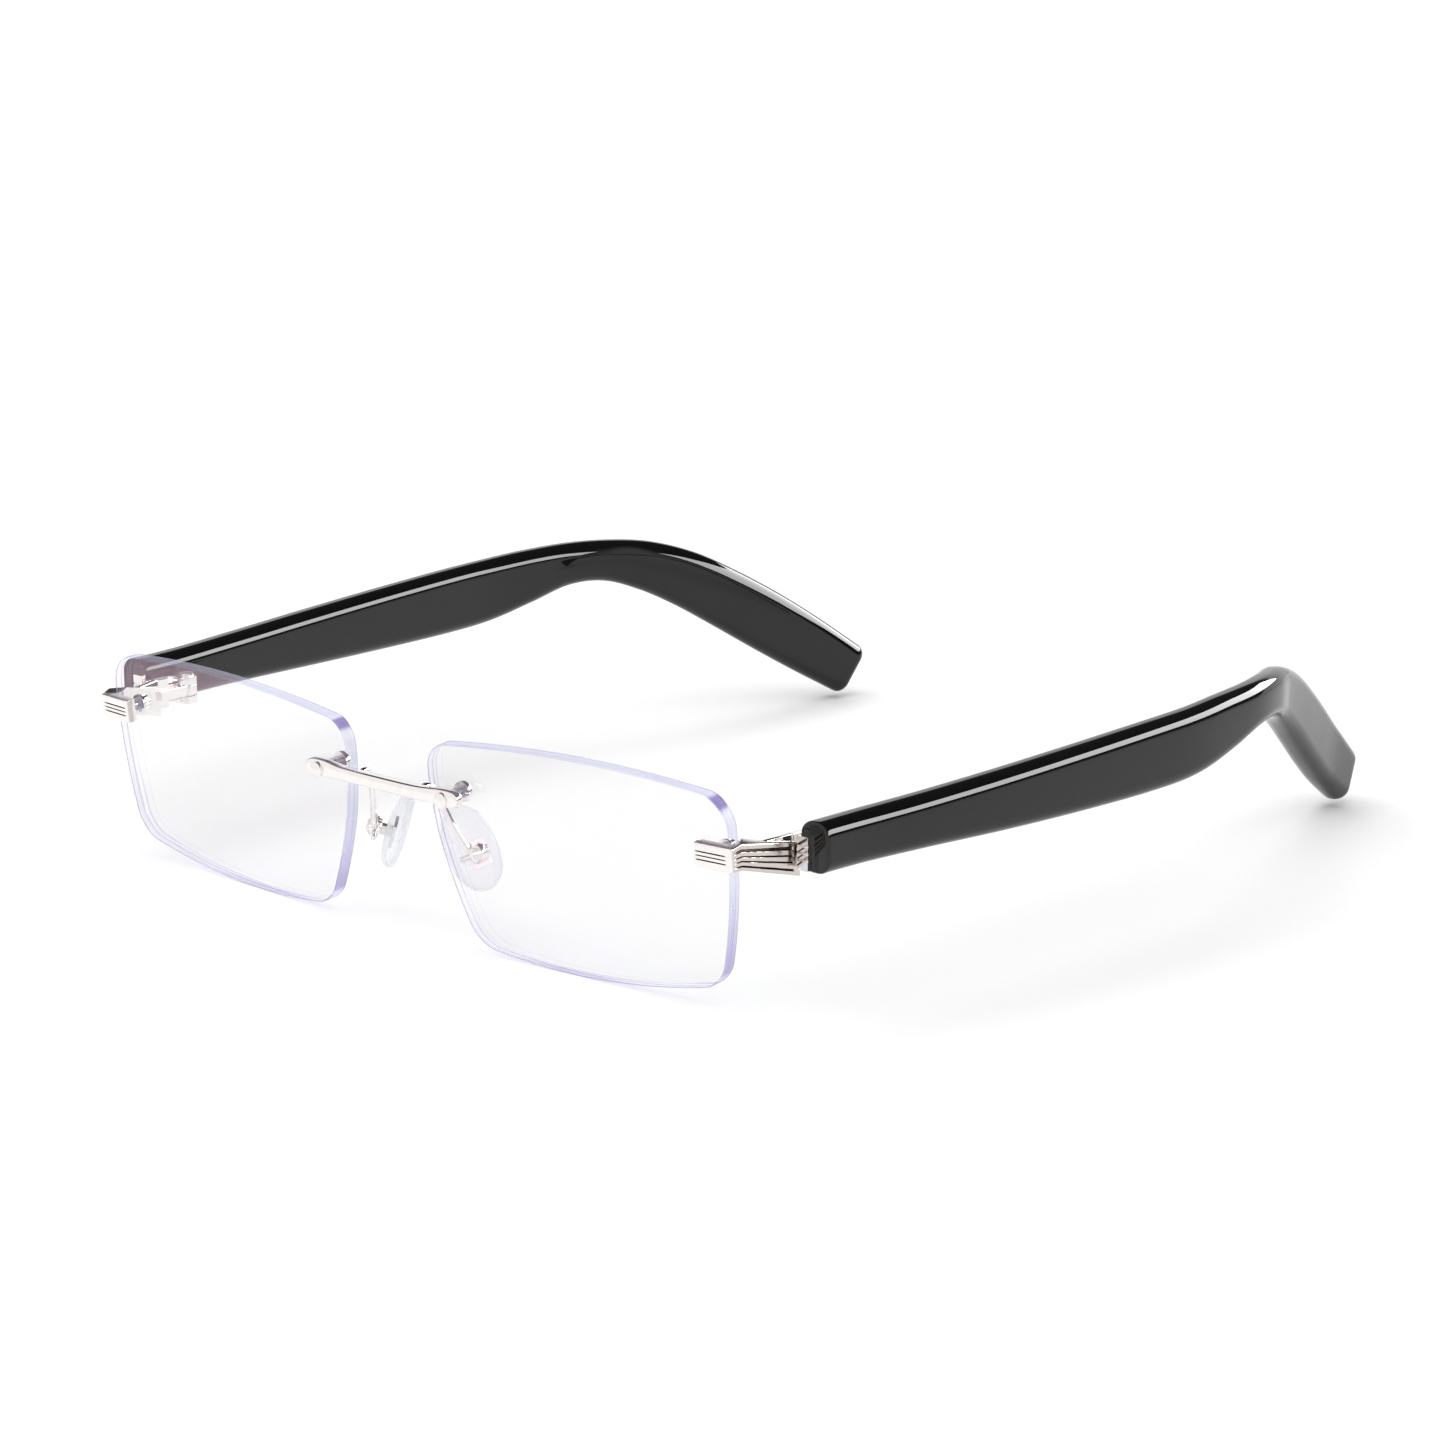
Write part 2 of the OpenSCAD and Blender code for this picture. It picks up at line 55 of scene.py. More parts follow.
WRAP, TILT = math.radians(3.8), math.radians(5.7)
LENS_U = np.array([math.cos(WRAP), math.sin(WRAP), 0.0])
LENS_N = np.array([-math.sin(WRAP) * math.cos(TILT), math.cos(WRAP) * math.cos(TILT), math.sin(TILT)])
LENS_V = np.cross(LENS_U, LENS_N)
LENS_O = np.array([35.8, 0.5 + BACK, 15.754])
LENS_T = 2.0
HOLE_R = 0.95
HOLE_V = 7.0
NASAL_U = -23.2
TEMPORAL_U = 25.0
SHANK_R = 0.6
GLASS = 1.5  # refractive index


def on_lens(points):
    """Lens coordinates (out, back, up) in mm to the row frame."""
    p = np.atleast_2d(np.asarray(points, float))
    return LENS_O + p[:, :1] * LENS_U + p[:, 1:2] * LENS_N + p[:, 2:3] * LENS_V


def in_row(points):
    """Coordinates measured from the lens plane, in mm, to the row frame."""
    return np.atleast_2d(np.asarray(points, float)) + [0.0, BACK, 0.0]


# ---- Curves -------------------------------------------------------------------------------
def catmull(stations, steps):
    s = np.asarray(stations, float)
    out = []
    for i in range(len(s) - 1):
        a, b, c, d = s[max(i - 1, 0)], s[i], s[i + 1], s[min(i + 2, len(s) - 1)]
        for k in range(steps):
            t = k / steps
            out.append(
                0.5 * (2 * b + (c - a) * t + (2 * a - 5 * b + 4 * c - d) * t**2
                       + (3 * b - a - 3 * c + d) * t**3)
            )
    out.append(s[-1])
    return np.array(out)


def tangents(path):
    t = np.gradient(path, axis=0)
    return t / np.linalg.norm(t, axis=1, keepdims=True)


def rounded_rect(w, h, r, steps):
    """Ring of (out, up) pairs round a rectangle of half sizes w and h."""
    r = min(r, w * 0.98, h * 0.98)
    ring = []
    for corner in range(4):
        sx = 1 if corner in (0, 3) else -1
        sz = 1 if corner < 2 else -1
        for k in range(steps + 1):
            a = math.radians(90 * corner + 90 * k / steps)
            ring.append((sx * (w - r) + r * math.cos(a), sz * (h - r) + r * math.sin(a)))
    return np.array(ring)


# ---- Meshes -------------------------------------------------------------------------------
def mesh_piece(name, points, faces, side=1, smooth_angle=35, indices=None, attrs=None):
    """A mesh from points in mm in the row frame; side -1 mirrors it across X = 0."""
    p = np.array(points, float) * MM
    if side < 0:
        p[:, 0] *= -1
        faces = [tuple(reversed(f)) for f in faces]
    mesh = bpy.data.meshes.new(name)
    mesh.from_pydata([tuple(q) for q in p], [], [tuple(f) for f in faces])
    if indices is not None:
        mesh.polygons.foreach_set("material_index", indices)
    for key, values in (attrs or {}).items():
        a = mesh.attributes.new(key, "FLOAT", "POINT")
        a.data.foreach_set("value", np.asarray(values, np.float32))
    mesh.update()
    mesh.shade_smooth()
    mesh.set_sharp_from_angle(angle=math.radians(smooth_angle))
    obj = bpy.data.objects.new(name, mesh)
    bpy.context.scene.collection.objects.link(obj)
    return obj


def loft_faces(rings, n):
    """Faces of a closed solid through a number of rings of n points each."""
    faces = []
    for i in range(rings - 1):
        for k in range(n):
            a, b = i * n + k, i * n + (k + 1) % n
            faces.append((a, b, b + n, a + n))
    faces.append(tuple(reversed(range(n))))
    faces.append(tuple((rings - 1) * n + k for k in range(n)))
    return faces


def loft(name, rings, side=1, flip=False, **kw):
    """A solid through rings; flip is for rings that run the other way round."""
    n = len(rings[0])
    faces = loft_faces(len(rings), n)
    if flip:
        faces = [tuple(reversed(f)) for f in faces]
    return mesh_piece(name, np.concatenate(rings), faces, side, **kw)


# ---- Materials ----------------------------------------------------------------------------
def material(name):
    m = bpy.data.materials.new(name)
    m.use_nodes = True
    nodes, links = m.node_tree.nodes, m.node_tree.links
    return m, nodes, links, nodes["Principled BSDF"]


def noise(nodes, links, scale, detail=4.0, stretch=(1, 1, 1)):
    coord = nodes.new("ShaderNodeTexCoord")
    mapping = nodes.new("ShaderNodeMapping")
    mapping.inputs["Scale"].default_value = stretch
    tex = nodes.new("ShaderNodeTexNoise")
    tex.inputs["Scale"].default_value = scale
    tex.inputs["Detail"].default_value = detail
    links.new(coord.outputs["Object"], mapping.inputs["Vector"])
    links.new(mapping.outputs["Vector"], tex.inputs["Vector"])
    return tex.outputs["Fac"]


def ramp(nodes, links, fac, stops):
    r = nodes.new("ShaderNodeValToRGB")
    links.new(fac, r.inputs["Fac"])
    els = r.color_ramp.elements
    while len(els) < len(stops):
        els.new(0.5)
    for el, (pos, col) in zip(els, stops):
        el.position = pos
        el.color = (*col, 1) if len(col) == 3 else (col[0],) * 3 + (1,)
    return r.outputs["Color"]


def multiplied(nodes, links, first, second):
    mix = nodes.new("ShaderNodeMix")
    mix.data_type = "RGBA"
    mix.blend_type = "MULTIPLY"
    mix.inputs["Factor"].default_value = 1.0
    links.new(first, mix.inputs[6])
    links.new(second, mix.inputs[7])
    return mix.outputs[2]


def bump(nodes, links, fac, strength, distance):
    b = nodes.new("ShaderNodeBump")
    b.inputs["Strength"].default_value = strength
    b.inputs["Distance"].default_value = distance
    links.new(fac, b.inputs["Height"])
    return b.outputs["Normal"]


def metal(name, colour, rough, wave=0.08, scale=900, painted_shade=None):
    """Polished metal. The optional attribute name darkens it with painted shade: grey at low values,
    near black in the sunk lines.
    """
    m, n, l, p = material(name)
    p.inputs["Metallic"].default_value = 1.0
    f = noise(n, l, scale)
    lo = tuple(c * 0.94 for c in colour)
    tint = ramp(n, l, f, [(0.3, lo), (0.7, colour)])
    if painted_shade:
        # Painted shade: a value of 0.3 greys the metal, 0.75 and up turns it near black
        painted_shade_attr = n.new("ShaderNodeAttribute")
        painted_shade_attr.attribute_name = painted_shade
        painted_shade_ramp = ramp(n, l, painted_shade_attr.outputs["Fac"], [(0.0, (1.0, 1.0, 1.0)), (0.3, (0.70, 0.665, 0.64)),
                                                   (0.75, (0.06, 0.045, 0.04))])
        tint = multiplied(n, l, tint, painted_shade_ramp)
    l.new(tint, p.inputs["Base Color"])
    l.new(ramp(n, l, f, [(0.3, (rough,)), (0.8, (rough * 1.8,))]), p.inputs["Roughness"])
    l.new(bump(n, l, noise(n, l, scale * 0.4), wave, 0.00001), p.inputs["Normal"])
    return m


def acetate():
    m, n, l, p = material("black_acetate")
    f = noise(n, l, 45, 3, (1, 0.3, 1))
    l.new(ramp(n, l, f, [(0.3, (0.004,)), (0.75, (0.007, 0.0065, 0.0065))]), p.inputs["Base Color"])
    l.new(ramp(n, l, noise(n, l, 400), [(0.4, (0.035,)), (0.8, (0.06,))]), p.inputs["Roughness"])
    p.inputs["IOR"].default_value = 1.44
    l.new(bump(n, l, noise(n, l, 60, 2), 0.03, 0.0002), p.inputs["Normal"])
    return m


def lens_face():
    """Coated clear glass: it lets the view straight through and mirrors a little."""
    m, n, l, p = material("lens_face")
    n.remove(p)
    clear = n.new("ShaderNodeBsdfTransparent")
    clear.inputs["Color"].default_value = (0.95, 0.985, 0.97, 1)
    gloss = n.new("ShaderNodeBsdfGlossy")
    gloss.inputs["Roughness"].default_value = 0.02
    f = noise(n, l, 20, 2)
    l.new(ramp(n, l, f, [(0.3, (0.96, 0.67, 0.82)), (0.7, (1.0, 0.71, 0.86))]), gloss.inputs["Color"])
    mix = n.new("ShaderNodeMixShader")
    mix.inputs["Fac"].default_value = 0.11
    l.new(clear.outputs["BSDF"], mix.inputs[1])
    l.new(gloss.outputs["BSDF"], mix.inputs[2])
    l.new(mix.outputs["Shader"], n["Material Output"].inputs["Surface"])
    return m


def lens_edge():
    """Polished edge of the lens: clear to lavender by a painted reflection tint, with fine lines along
    it.
    """
    m, n, l, p = material("lens_edge")
    n.remove(p)
    put = {}
    for name in ("across", "around", "shade"):
        put[name] = n.new("ShaderNodeAttribute")
        put[name].attribute_name = name
    comb = n.new("ShaderNodeCombineXYZ")
    l.new(put["across"].outputs["Fac"], comb.inputs["X"])
    l.new(put["around"].outputs["Fac"], comb.inputs["Y"])
    mapping = n.new("ShaderNodeMapping")
    mapping.inputs["Scale"].default_value = (2.4, 0.02, 1)
    l.new(comb.outputs["Vector"], mapping.inputs["Vector"])
    tex = n.new("ShaderNodeTexNoise")
    tex.inputs["Scale"].default_value = 1.7
    tex.inputs["Detail"].default_value = 3
    l.new(mapping.outputs["Vector"], tex.inputs["Vector"])
    lines = ramp(n, l, tex.outputs["Fac"], [(0.36, (0.74, 0.72, 0.86)), (0.46, (0.93, 0.92, 0.97)),
                                            (0.58, (1.0, 1.0, 1.0))])
    # Painted reflection: the shade attribute turns the edge lavender and more frosted, standing in for
    # the surroundings seen in it
    depth = ramp(n, l, put["shade"].outputs["Fac"], [
        (0.0, (0.985, 0.98, 0.99)), (0.3, (0.80, 0.81, 0.92)), (0.6, (0.66, 0.64, 0.84)),
        (1.0, (0.36, 0.30, 0.58))])
    tint = multiplied(n, l, lines, depth)
    clear = n.new("ShaderNodeBsdfTransparent")
    l.new(tint, clear.inputs["Color"])
    frost = n.new("ShaderNodeBsdfPrincipled")
    l.new(tint, frost.inputs["Base Color"])
    frost.inputs["Roughness"].default_value = 0.2
    frost.inputs["IOR"].default_value = GLASS
    mix = n.new("ShaderNodeMixShader")
    share = n.new("ShaderNodeMapRange")
    share.inputs["To Min"].default_value = 0.04
    share.inputs["To Max"].default_value = 0.6
    l.new(put["shade"].outputs["Fac"], share.inputs["Value"])
    l.new(share.outputs["Result"], mix.inputs["Fac"])
    l.new(clear.outputs["BSDF"], mix.inputs[1])
    l.new(frost.outputs["BSDF"], mix.inputs[2])
    l.new(mix.outputs["Shader"], n["Material Output"].inputs["Surface"])
    return m


def silicone(name="silicone", share=0.30):
    m, n, l, p = material(name)
    f = noise(n, l, 500, 3)
    tint = ramp(n, l, f, [(0.35, (0.84, 0.85, 0.88)), (0.7, (0.93, 0.935, 0.95))])
    l.new(tint, p.inputs["Base Color"])
    p.inputs["Roughness"].default_value = 0.18
    p.inputs["IOR"].default_value = 1.41
    clear = n.new("ShaderNodeBsdfTransparent")
    clear.inputs["Color"].default_value = (0.93, 0.933, 0.95, 1)
    layer = n.new("ShaderNodeLayerWeight")
    layer.inputs["Blend"].default_value = share
    mix = n.new("ShaderNodeMixShader")
    l.new(layer.outputs["Facing"], mix.inputs["Fac"])
    l.new(clear.outputs["BSDF"], mix.inputs[1])
    l.new(p.outputs["BSDF"], mix.inputs[2])
    l.new(mix.outputs["Shader"], n["Material Output"].inputs["Surface"])
    return m


BRIGHT = metal("bright_metal", (0.92, 0.885, 0.865), 0.07)
RIBBED = metal("ribbed_metal", (0.92, 0.885, 0.865), 0.16, painted_shade="painted_shade")
STEEL = metal("screw_steel", (0.80, 0.79, 0.78), 0.16, 0.15)
INSERT = metal("insert_metal", (0.86, 0.84, 0.83), 0.25, 0.1)
WIRE = metal("core_wire", (0.7, 0.7, 0.71), 0.3, 0.1)
BLACK = acetate()
FACE = lens_face()
EDGE = lens_edge()
SILICONE = silicone()
PLASTIC = silicone("clear_plastic", 0.25)


def finish_piece(obj, mats, body, nodes):
    for m in mats:
        obj.data.materials.append(m)
    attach(obj, body)
    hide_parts(*nodes)


# ---- Lenses -------------------------------------------------------------------------------
CORNERS = np.array([[-27.4, 14.1], [27.3, 14.8], [24.5, -12.4], [-20.3, -14.6], [-27.3, 4.1]])
BULGE = [1.6, 1.2, 2.2, 0.7, 0.15]
CUT = [3.4, 4.3, 3.1, 3.0, 4.5]
PULL = 0.55


def lens_outline(side_steps=40, corner_steps=20):
    n = len(CORNERS)
    pts = []

    def side_point(i, t):
        a, b = CORNERS[i % n], CORNERS[(i + 1) % n]
        along = (b - a) / np.linalg.norm(b - a)
        mid = (a + b) / 2 + 2 * BULGE[i % n] * np.array([-along[1], along[0]])
        return (1 - t) ** 2 * a + 2 * t * (1 - t) * mid + t * t * b

    for i in range(n):
        size = np.linalg.norm(CORNERS[(i + 1) % n] - CORNERS[i])
        after = np.linalg.norm(CORNERS[(i + 2) % n] - CORNERS[(i + 1) % n])
        t0, t1 = CUT[i] / size, 1 - CUT[(i + 1) % n] / size
        pts += [side_point(i, t0 + (t1 - t0) * k / side_steps) for k in range(side_steps + 1)]
        a, b, c = side_point(i, t1), CORNERS[(i + 1) % n], side_point(i + 1, CUT[(i + 1) % n] / after)
        p, q = a + (b - a) * PULL, c + (b - c) * PULL
        for k in range(1, corner_steps):
            t = k / corner_steps
            pts.append((1 - t) ** 3 * a + 3 * (1 - t) ** 2 * t * p
                       + 3 * (1 - t) * t * t * q + t**3 * c)
    return np.array(pts)


def lens(side):
    outline = lens_outline()
    n = len(outline)
    step = np.roll(outline, -1, 0) - np.roll(outline, 1, 0)
    step /= np.linalg.norm(step, axis=1, keepdims=True)
    inward = np.stack([step[:, 1], -step[:, 0]], 1)
    run = np.cumsum(np.linalg.norm(np.diff(outline, axis=0, prepend=outline[-1:]), axis=1))
    bevel = 0.22
    # Painted reflection on the edge: how deep the lavender is, set by the way the edge faces in the
    # world, stands in for the surroundings mirrored in it
    face_x, face_z = -inward[:, 0] * SIDES[side], -inward[:, 1]
    corner = np.clip((0.62 * face_x + 0.785 * face_z - 0.94) / 0.045, 0, 1)
    upper = 0.30 * np.clip((face_z - 0.75) / 0.15, 0, 1)
    lower = np.clip((4.0 - outline[:, 1]) / 16, 0, 1) * np.clip((face_x - 0.6) / 0.3, 0, 1)
    painted_reflection_tone = np.maximum(np.maximum(corner, upper), 0.22 * (face_x > 0.8) + 0.6 * lower)
    # Painted reflection lines: where the edge is otherwise clear, the front bevel and a ring 1.2 mm
    # deep get lavender
    painted_reflection_rim = np.where(painted_reflection_tone < 0.15, 0.62, painted_reflection_tone)
    depths = [(bevel, 0.0), (0.06, 0.05), (0.0, bevel), (0.0, 0.35), (0.0, 1.05), (0.0, 1.2),
              (0.0, 1.35), (0.0, 1.5), (0.0, LENS_T - bevel),
              (0.06, LENS_T - 0.05), (bevel, LENS_T)]
    pts, across, around, shade = [], [], [], []
    for inset, depth in depths:
        ring = outline + inward * inset
        pts.append(np.stack([ring[:, 0], np.full(n, depth), ring[:, 1]], 1))
        across += [depth] * n
        around += list(run)
        shade += list(painted_reflection_rim if depth in (0.0, 0.05, bevel, 1.2) else painted_reflection_tone)
    faces, index = [], []
    for i in range(len(depths) - 1):
        for k in range(n):
            a, b = i * n + k, i * n + (k + 1) % n
            faces.append((a, b, b + n, a + n))
            index.append(1)
    # Drilled holes, and both faces round them
    holes, hole_n = [], 32
    for u in (NASAL_U, TEMPORAL_U):
        ring = [(u + HOLE_R * math.cos(2 * math.pi * k / hole_n),
                 HOLE_V + HOLE_R * math.sin(2 * math.pi * k / hole_n)) for k in range(hole_n)]
        start = sum(len(p) for p in pts)
        for depth in (0.0, LENS_T):
            pts.append(np.array([(x, depth, z) for x, z in ring]))
            across += [depth] * hole_n
            around += [0.0] * hole_n
            # A faint painted reflection tint on the hole walls
            shade += [0.08] * hole_n
        for k in range(hole_n):
            a, b = start + k, start + (k + 1) % hole_n
            faces.append((a, a + hole_n, b + hole_n, b))
            index.append(1)
        holes.append(start)
    allp = np.concatenate(pts)
    for depth_ring, shift in ((0, 0), (len(depths) - 1, hole_n)):
        loops = [list(range(depth_ring * n, depth_ring * n + n))]
        loops += [list(range(h + shift, h + shift + hole_n)) for h in holes]
        flat = [i for loop in loops for i in loop]
        tris = tessellate_polygon([[Vector((allp[i][0], allp[i][2], 0)) for i in lp] for lp in loops])
        for t in tris:
            q = [flat[i] for i in t]
            a, b, c = (allp[i][[0, 2]] for i in q)
            ccw = (b[0] - a[0]) * (c[1] - a[1]) - (b[1] - a[1]) * (c[0] - a[0]) > 0
            if ccw == (depth_ring > 0):
                q.reverse()
            faces.append(tuple(q))
            index.append(0)
    obj = mesh_piece("lens_" + side + "_glass", on_lens(allp), faces, SIDES[side], 25, index,
                     {"across": across, "around": around, "shade": shade})
    finish_piece(obj, [FACE, EDGE], "front", ["lens_" + side])


# ---- Bridge -------------------------------------------------------------------------------
BRIDGE_Z = LENS_O[2] + HOLE_V - 0.05
BRIDGE_HALF = [
    [15.65, -3.1, 0.40, 0.30], [15.5, -3.05, 0.70, 0.65], [15.1, -3.0, 0.95, 0.98],
    [14.5, -3.0, 1.02, 1.20], [13.6, -2.95, 1.05, 1.30], [12.0, -2.95, 1.05, 1.27],
    [10.4, -3.0, 1.1, 1.14], [8.2, -3.2, 1.15, 1.0], [5.2, -3.3, 1.15, 0.95],
    [2.2, -3.35, 1.15, 0.95],
]


def bridge():
    half = np.array(BRIDGE_HALF)
    other = half[::-1] * [-1, 1, 1, 1]
    stations = catmull(np.concatenate([half, other]), 10)
    rings = []
    for x, y, d, h in stations:
        ring = rounded_rect(d, h, 0.55 * h + 0.15, 8)
        p = in_row(np.stack([np.full(len(ring), x), y + ring[:, 0], np.full(len(ring), 0.0)], 1))
        p[:, 2] = BRIDGE_Z + ring[:, 1]
        # The ends lie flat on the lenses
        for sgn in (1, -1):
            q = p * [sgn, 1, 1] - LENS_O
            over = np.where((p[:, 0] * sgn > 8.0), np.maximum(q @ LENS_N, 0), 0)
            p -= over[:, None] * LENS_N * [sgn, 1, 1]
        rings.append(p)
    obj = loft("bridge_bar", rings, flip=True, smooth_angle=60)
    finish_piece(obj, [BRIGHT], "front", ["bridge"])


# ---- End pieces ---------------------------------------------------------------------------
# Stations round the outside as (outer out, outer back, inner out, inner back, groove depth)
END_PATH = [
    [22.65, -1.1, 22.80, -0.4, 0.0], [22.68, -1.65, 22.95, -0.05, 0.0],
    [22.95, -1.91, 23.20, -0.01, 0.2], [23.6, -1.90, 23.8, -0.01, 1.0],
    [25.5, -1.86, 25.5, -0.01, 1.0], [27.6, -1.82, 27.0, -0.01, 1.0],
    [28.3, -1.80, 27.4, -0.01, 0.2], [28.9, -1.78, 27.55, 0.2, 0.0], [29.14, -1.70, 27.62, 0.6, 0.0],
    [29.24, -1.48, 27.66, 1.0, 0.0], [29.37, -0.9, 27.72, 1.5, 0.6], [29.57, 0.0, 27.87, 2.2, 1.4],
    [30.16, 2.6, 28.32, 3.9, 1.6], [30.80, 5.4, 28.89, 6.0, 1.6], [31.26, 7.4, 29.39, 7.8, 1.5],
    [31.44, 8.2, 29.55, 8.4, 1.0], [31.52, 8.55, 29.63, 8.7, 0.0], [31.69, 9.3, 29.8, 9.3, 0.0],
]
FRONT_LOW, FRONT_HIGH, REAR_LOW, REAR_HIGH = 5.25, 9.1, 1.95, 6.95
PLATE_LOW, PLATE_HIGH = 5.35, 8.8
LEG_REAR = 9.3
END_EDGE_R = 0.3
LINE_DEPTH = 0.2
# Sunk lines between the raised ribs: share of the height from the top, at the front corner
# and at the rear end, and half width as a share of half the height
LEG_LINES = ((0.25, 0.19, 0.105), (0.47, 0.41, 0.05), (0.64, 0.61, 0.05), (0.82, 0.84, 0.065))
PLATE_LINES = ((0.33, 0.33, 0.05), (0.50, 0.50, 0.05), (0.67, 0.67, 0.05))
# Inner wall, as (back, inner face out, top) from its front to its rear
WALL = ((2.6, 28.2, 8.1), (4.0, 28.53, 8.06), (6.0, 29.0, 8.0), (9.15, 29.77, 7.9),
        (LEG_REAR, 29.8, 7.8))
WALL_FOOT = 5.5


def end_piece(side):
    path = catmull(END_PATH, 6)
    m = 120
    rings, painted_shade = [], []
    for ou, on, iu, inn, groove in path:
        t = min(max(on / LEG_REAR, 0.0), 1.0)
        low = FRONT_LOW + (REAR_LOW - FRONT_LOW) * t
        high = FRONT_HIGH + (REAR_HIGH - FRONT_HIGH) * t
        near = min(max(-on / 1.2, 0.0), 1.0)
        low += (PLATE_LOW - low) * near
        high += (PLATE_HIGH - high) * near
        mid, h = (low + high) / 2, (high - low) / 2
        out = np.array([ou - iu, on - inn])
        thick = np.linalg.norm(out)
        out /= thick
        ring = []
        for k in range(m + 1):
            s = 1 - 2 * k / m
            edge = max(0.0, abs(s) * h - (h - END_EDGE_R)) / END_EDGE_R
            drop = END_EDGE_R * (1 - math.sqrt(max(0.0, 1 - edge**2)))
            cut = 0.0
            for g0, g1, width in (LEG_LINES if on > -1.3 else PLATE_LINES):
                z = (s - (1 - 2 * (g0 + (g1 - g0) * t))) / width
                cut = max(cut, math.sqrt(1 - z * z) if abs(z) < 1 else 0.0)
            depth = drop + LINE_DEPTH * max(groove, 0.0) * cut
            # Painted shade: the leg behind the front plate is greyed by a base of 0.3, and the groove
            # bottoms turn dark, standing in for shade in the grooves and a darker reflection on the leg
            base = 0.3 * min(max((on + 1.7) / 0.3, 0.0), 1.0)
            painted_shade.append(max(base, min(1.0, cut * 1.6) * min(1.0, max(groove, 0.0))))
            ring.append((ou - out[0] * depth, on - out[1] * depth, mid + s * h))
        for k in range(9):
            s = -1 + 2 * k / 8
            ring.append((iu, inn, mid + s * (h - 0.12)))
            painted_shade.append(0.0)
        rings.append(on_lens(ring))
    obj = loft("end_piece_" + side + "_ribbed", rings, SIDES[side], smooth_angle=50,
               attrs={"painted_shade": painted_shade})
    # Inner wall that stands above the leg's falling top
    wall_rings = []
    for on, iu, top in WALL:
        wall_rings.append(on_lens([(iu + 0.9, on, top - 0.15), (iu + 0.82, on, top - 0.04),
                                   (iu + 0.7, on, top), (iu + 0.2, on, top),
                                   (iu + 0.08, on, top - 0.04), (iu, on, top - 0.15),
                                   (iu, on, WALL_FOOT), (iu + 0.9, on, WALL_FOOT)]))
    wall = loft("end_wall_" + side, wall_rings, SIDES[side], flip=True, smooth_angle=40)
    # The stud through the lens
    n = 24
    stud = []
    for depth in (-0.5, 3.55, 3.7):
        r = SHANK_R if depth < 3.6 else 0.45
        stud.append(on_lens([(TEMPORAL_U + r * math.cos(2 * math.pi * k / n), depth,
                              HOLE_V + r * math.sin(2 * math.pi * k / n)) for k in range(n)]))
    pin = loft("end_stud_" + side, stud, SIDES[side], flip=True)
    finish_piece(obj, [RIBBED], "front", ["end_piece_" + side])
    for extra in (wall, pin):
        extra.data.materials.append(BRIGHT)
        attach(extra, "front")


# ---- Temples ------------------------------------------------------------------------------
FRONT_Y = 10.8
TEMPLE = [
    [70.15, FRONT_Y, 23.35, 3.6], [70.4, 20, 23.45, 3.66], [71.3, 32, 23.6, 3.90],
    [72.2, 46, 23.75, 4.35], [72.8, 61, 24.0, 4.78], [73.1, 76, 24.35, 5.08],
    [73.0, 86, 24.8, 5.00], [72.2, 94.5, 25.85, 4.35], [70.9, 102.5, 26.9, 3.45],
    [68.6, 109.3, 26.85, 3.35], [65.4, 115.4, 25.5, 4.05], [62.4, 121.8, 22.7, 4.65],
    [59.5, 128.4, 18.7, 4.95], [56.7, 135.0, 14.3, 5.05], [54.1, 141.6, 9.75, 4.85],
    [51.8, 148.9, 4.8, 4.35],
]
FRONT_W, TIP_W, EDGE_R = 2.65, 2.4, 2.2
FRONT_ROUND, TIP_ROUND = 0.4, 1.3


def temple(side):
    path = catmull(TEMPLE, 12)
    centres = path[:, :3]
    t = tangents(centres)
    n = len(path)
    rings = []

    def ring(i, along, inset):
        up = np.array([0, 0, 1.0]) - t[i][2] * t[i]
        up /= np.linalg.norm(up)
        out = np.cross(t[i], up)
        w = FRONT_W + (TIP_W - FRONT_W) * i / (n - 1) - inset
        flat = rounded_rect(w, path[i][3] - inset, max(EDGE_R - inset, 0.3), 10)
        return in_row(centres[i] + along * t[i] + flat[:, :1] * out + flat[:, 1:] * up)

    for a in (90, 72, 54, 36, 18):
        r = math.radians(a)
        rings.append(ring(0, FRONT_ROUND * (1 - math.sin(r)), FRONT_ROUND * (1 - math.cos(r))))
    first = sum(np.linalg.norm(centres[:40] - centres[0], axis=1) <= FRONT_ROUND)
    rings += [ring(i, 0, 0) for i in range(first, n)]
    for a in (15, 30, 45, 60, 75, 90):
        r = math.radians(a)
        rings.append(ring(n - 1, TIP_ROUND * math.sin(r), TIP_ROUND * (1 - math.cos(r))))
    obj = loft("temple_" + side + "_acetate", rings, SIDES[side], flip=True, smooth_angle=50)
    finish_piece(obj, [BLACK], "temple_" + side, ["temple_" + side])


# ---- Nose pads ----------------------------------------------------------------------------
def turn(axis, degrees):
    return np.array(Matrix.Rotation(math.radians(degrees), 3, axis))


PAD_TURN = turn("X", 27) @ turn("Z", -35) @ turn("Y", -34)


def on_pad(points):
    return PAD_PIVOT + np.atleast_2d(np.asarray(points, float)) @ PAD_TURN.T


PAD_L, PAD_W, PAD_T = 12.8, 7.4, 3.1
PAD_MIDDLE = (-3.0, -0.6, 1.1)
PAD_END = 86  # degrees


